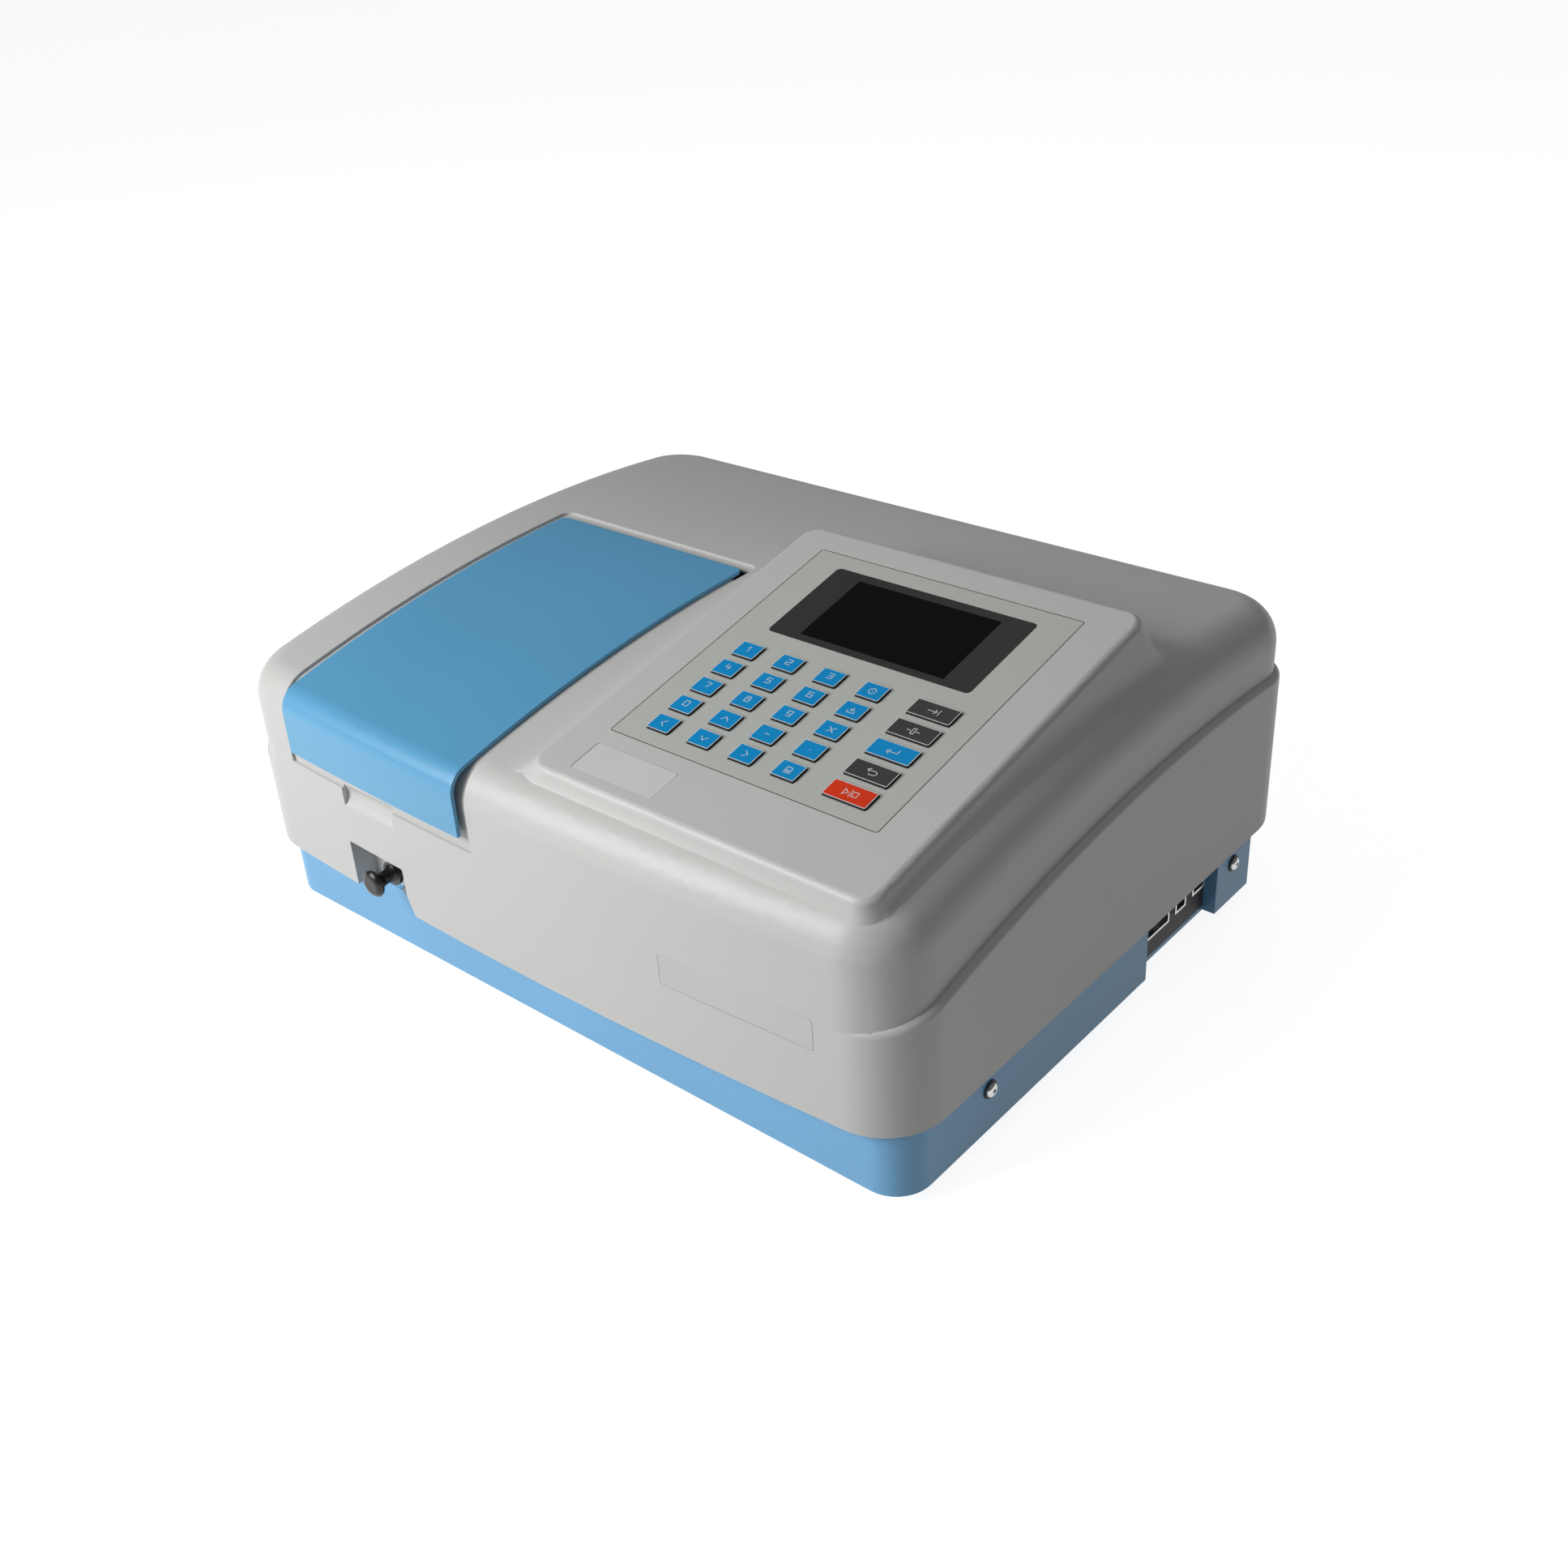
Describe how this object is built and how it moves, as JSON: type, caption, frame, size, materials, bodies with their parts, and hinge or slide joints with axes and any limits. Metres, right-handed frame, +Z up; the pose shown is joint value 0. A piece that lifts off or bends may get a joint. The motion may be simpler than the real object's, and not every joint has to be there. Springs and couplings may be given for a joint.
{
  "type": "uv-vis spectrophotometer",
  "caption": "Bench spectrophotometer with arched cover, sloping keypad and screen, hinged sample lid and a pull rod that shifts the cells through the beam.",
  "frame": {"origin": "on the bench under the middle of the overall box", "axes": "+Z up, +X to the operator's right, -Y towards the operator"},
  "size_m": [0.498, 0.404, 0.223],
  "materials": {
    "tray_blue": "satin fine texture",
    "rubber_black": "matte",
    "cover_white": "fine moulded texture",
    "screw_steel": "polished",
    "panel_black": "satin",
    "port_metal": "satin",
    "black_plastic": "satin",
    "fan_black": "satin",
    "plate_aluminium": "brushed",
    "box_black": "matte black",
    "lid_blue": "satin",
    "hinge_steel": "satin",
    "foam_black": "matte foam",
    "carriage_black": "black anodised",
    "rod_steel": "ground",
    "knob_black": "gloss",
    "cell_glass": "clear",
    "film_grey": "matte film",
    "window_dark": "semi gloss",
    "screen_dark": "dark screen",
    "board_green": "solder mask",
    "supply_steel": "zinc plated",
    "lamp_sheet": "sheet",
    "lamp_glass": "clear",
    "mirror_face": "polished",
    "mono_black": "black painted casting",
    "motor_steel": "satin",
    "key_blue": "satin",
    "key_grey": "satin",
    "key_red": "satin"
  },
  "bodies": {
    "housing": {"base_tray": "tray_blue", "rubber_feet": "rubber_black", "top_cover": "cover_white", "cover_screws": "screw_steel", "connector_panel": "panel_black", "data_ports": "port_metal", "mains_inlet": "black_plastic", "fan_frame": "fan_black", "optical_plate": "plate_aluminium", "sample_box": "box_black", "lid_hinge": "hinge_steel", "carriage_rods": "rod_steel", "keypad_overlay": "film_grey", "display_window": "window_dark", "display_module": "screen_dark", "circuit_boards": "board_green", "power_supply": "supply_steel", "lamp_housing": "lamp_sheet", "tungsten_lamp": "lamp_glass", "deuterium_lamp": "lamp_glass", "mono_housing": "mono_black", "mono_mirrors": "mirror_face", "detector_unit": "mono_black", "steppers": "motor_steel"},
    "lid": {"sample_lid": "lid_blue", "lid_seal": "foam_black"},
    "carriage": {"cell_carriage": "carriage_black", "pull_rod": "rod_steel", "puller_knob": "knob_black", "cuvettes": "cell_glass"},
    "rocker": {"power_switch": "black_plastic"},
    "rotor": {"fan_rotor": "fan_black"},
    "source_mirror": {"lamp_mirror": "mirror_face"},
    "turntable": {"grating_table": "plate_aluminium"},
    "wheel": {"filter_wheel": "carriage_black"},
    "key_r1c1": {"key_r1c1": "key_blue"},
    "key_r1c2": {"key_r1c2": "key_blue"},
    "key_r1c3": {"key_r1c3": "key_blue"},
    "key_r1c4": {"key_r1c4": "key_blue"},
    "key_r1c5": {"key_r1c5": "key_grey"},
    "key_r2c1": {"key_r2c1": "key_blue"},
    "key_r2c2": {"key_r2c2": "key_blue"},
    "key_r2c3": {"key_r2c3": "key_blue"},
    "key_r2c4": {"key_r2c4": "key_blue"},
    "key_r2c5": {"key_r2c5": "key_grey"},
    "key_r3c1": {"key_r3c1": "key_blue"},
    "key_r3c2": {"key_r3c2": "key_blue"},
    "key_r3c3": {"key_r3c3": "key_blue"},
    "key_r3c4": {"key_r3c4": "key_blue"},
    "key_r3c5": {"key_r3c5": "key_blue"},
    "key_r4c1": {"key_r4c1": "key_blue"},
    "key_r4c2": {"key_r4c2": "key_blue"},
    "key_r4c3": {"key_r4c3": "key_blue"},
    "key_r4c4": {"key_r4c4": "key_blue"},
    "key_r4c5": {"key_r4c5": "key_grey"},
    "key_r5c1": {"key_r5c1": "key_blue"},
    "key_r5c2": {"key_r5c2": "key_blue"},
    "key_r5c3": {"key_r5c3": "key_blue"},
    "key_r5c4": {"key_r5c4": "key_blue"},
    "key_r5c5": {"key_r5c5": "key_red"}
  },
  "joints": [
    {"name": "lid_hinge", "type": "hinge", "parent": "housing", "child": "lid", "pos_m": [-0.111, 0.03, 0.1865], "axis": [-1, 0, 0], "range_deg": [0, 95]},
    {"name": "cell_shift", "type": "slide", "parent": "housing", "child": "carriage", "axis": [0, -1, 0], "range_m": [0, 0.054]},
    {"name": "power_rocker", "type": "hinge", "parent": "housing", "child": "rocker", "pos_m": [0.103, 0.1615, 0.029], "axis": [0, 0, 1], "range_deg": [-18, 0]},
    {"name": "fan_spin", "type": "hinge", "parent": "housing", "child": "rotor", "pos_m": [0.183, -0.05, 0.02], "axis": [0, 0, 1], "continuous": true},
    {"name": "lamp_select", "type": "hinge", "parent": "housing", "child": "source_mirror", "pos_m": [0.175, 0.045, 0.06], "axis": [0, 0, 1], "range_deg": [-30, 30]},
    {"name": "grating_turn", "type": "hinge", "parent": "housing", "child": "turntable", "pos_m": [0.023, 0.02, 0.06], "axis": [0, 0, 1], "range_deg": [-35, 35]},
    {"name": "filter_turn", "type": "hinge", "parent": "housing", "child": "wheel", "pos_m": [0.13, 0.045, 0.056], "axis": [1, 0, 0], "continuous": true},
    {"name": "key_r1c1_press", "type": "slide", "parent": "housing", "child": "key_r1c1", "axis": [0, -0.2053, 0.9787], "range_m": [-0.0008, 0], "stiffness_N_per_m": 400},
    {"name": "key_r1c2_press", "type": "slide", "parent": "housing", "child": "key_r1c2", "axis": [0, -0.2053, 0.9787], "range_m": [-0.0008, 0], "stiffness_N_per_m": 400},
    {"name": "key_r1c3_press", "type": "slide", "parent": "housing", "child": "key_r1c3", "axis": [0, -0.2053, 0.9787], "range_m": [-0.0008, 0], "stiffness_N_per_m": 400},
    {"name": "key_r1c4_press", "type": "slide", "parent": "housing", "child": "key_r1c4", "axis": [0, -0.2053, 0.9787], "range_m": [-0.0008, 0], "stiffness_N_per_m": 400},
    {"name": "key_r1c5_press", "type": "slide", "parent": "housing", "child": "key_r1c5", "axis": [0, -0.2053, 0.9787], "range_m": [-0.0008, 0], "stiffness_N_per_m": 400},
    {"name": "key_r2c1_press", "type": "slide", "parent": "housing", "child": "key_r2c1", "axis": [0, -0.2053, 0.9787], "range_m": [-0.0008, 0], "stiffness_N_per_m": 400},
    {"name": "key_r2c2_press", "type": "slide", "parent": "housing", "child": "key_r2c2", "axis": [0, -0.2053, 0.9787], "range_m": [-0.0008, 0], "stiffness_N_per_m": 400},
    {"name": "key_r2c3_press", "type": "slide", "parent": "housing", "child": "key_r2c3", "axis": [0, -0.2053, 0.9787], "range_m": [-0.0008, 0], "stiffness_N_per_m": 400},
    {"name": "key_r2c4_press", "type": "slide", "parent": "housing", "child": "key_r2c4", "axis": [0, -0.2053, 0.9787], "range_m": [-0.0008, 0], "stiffness_N_per_m": 400},
    {"name": "key_r2c5_press", "type": "slide", "parent": "housing", "child": "key_r2c5", "axis": [0, -0.2053, 0.9787], "range_m": [-0.0008, 0], "stiffness_N_per_m": 400},
    {"name": "key_r3c1_press", "type": "slide", "parent": "housing", "child": "key_r3c1", "axis": [0, -0.2053, 0.9787], "range_m": [-0.0008, 0], "stiffness_N_per_m": 400},
    {"name": "key_r3c2_press", "type": "slide", "parent": "housing", "child": "key_r3c2", "axis": [0, -0.2053, 0.9787], "range_m": [-0.0008, 0], "stiffness_N_per_m": 400},
    {"name": "key_r3c3_press", "type": "slide", "parent": "housing", "child": "key_r3c3", "axis": [0, -0.2053, 0.9787], "range_m": [-0.0008, 0], "stiffness_N_per_m": 400},
    {"name": "key_r3c4_press", "type": "slide", "parent": "housing", "child": "key_r3c4", "axis": [0, -0.2053, 0.9787], "range_m": [-0.0008, 0], "stiffness_N_per_m": 400},
    {"name": "key_r3c5_press", "type": "slide", "parent": "housing", "child": "key_r3c5", "axis": [0, -0.2053, 0.9787], "range_m": [-0.0008, 0], "stiffness_N_per_m": 400},
    {"name": "key_r4c1_press", "type": "slide", "parent": "housing", "child": "key_r4c1", "axis": [0, -0.2053, 0.9787], "range_m": [-0.0008, 0], "stiffness_N_per_m": 400},
    {"name": "key_r4c2_press", "type": "slide", "parent": "housing", "child": "key_r4c2", "axis": [0, -0.2053, 0.9787], "range_m": [-0.0008, 0], "stiffness_N_per_m": 400},
    {"name": "key_r4c3_press", "type": "slide", "parent": "housing", "child": "key_r4c3", "axis": [0, -0.2053, 0.9787], "range_m": [-0.0008, 0], "stiffness_N_per_m": 400},
    {"name": "key_r4c4_press", "type": "slide", "parent": "housing", "child": "key_r4c4", "axis": [0, -0.2053, 0.9787], "range_m": [-0.0008, 0], "stiffness_N_per_m": 400},
    {"name": "key_r4c5_press", "type": "slide", "parent": "housing", "child": "key_r4c5", "axis": [0, -0.2053, 0.9787], "range_m": [-0.0008, 0], "stiffness_N_per_m": 400},
    {"name": "key_r5c1_press", "type": "slide", "parent": "housing", "child": "key_r5c1", "axis": [0, -0.2053, 0.9787], "range_m": [-0.0008, 0], "stiffness_N_per_m": 400},
    {"name": "key_r5c2_press", "type": "slide", "parent": "housing", "child": "key_r5c2", "axis": [0, -0.2053, 0.9787], "range_m": [-0.0008, 0], "stiffness_N_per_m": 400},
    {"name": "key_r5c3_press", "type": "slide", "parent": "housing", "child": "key_r5c3", "axis": [0, -0.2053, 0.9787], "range_m": [-0.0008, 0], "stiffness_N_per_m": 400},
    {"name": "key_r5c4_press", "type": "slide", "parent": "housing", "child": "key_r5c4", "axis": [0, -0.2053, 0.9787], "range_m": [-0.0008, 0], "stiffness_N_per_m": 400},
    {"name": "key_r5c5_press", "type": "slide", "parent": "housing", "child": "key_r5c5", "axis": [0, -0.2053, 0.9787], "range_m": [-0.0008, 0], "stiffness_N_per_m": 400}
  ]
}
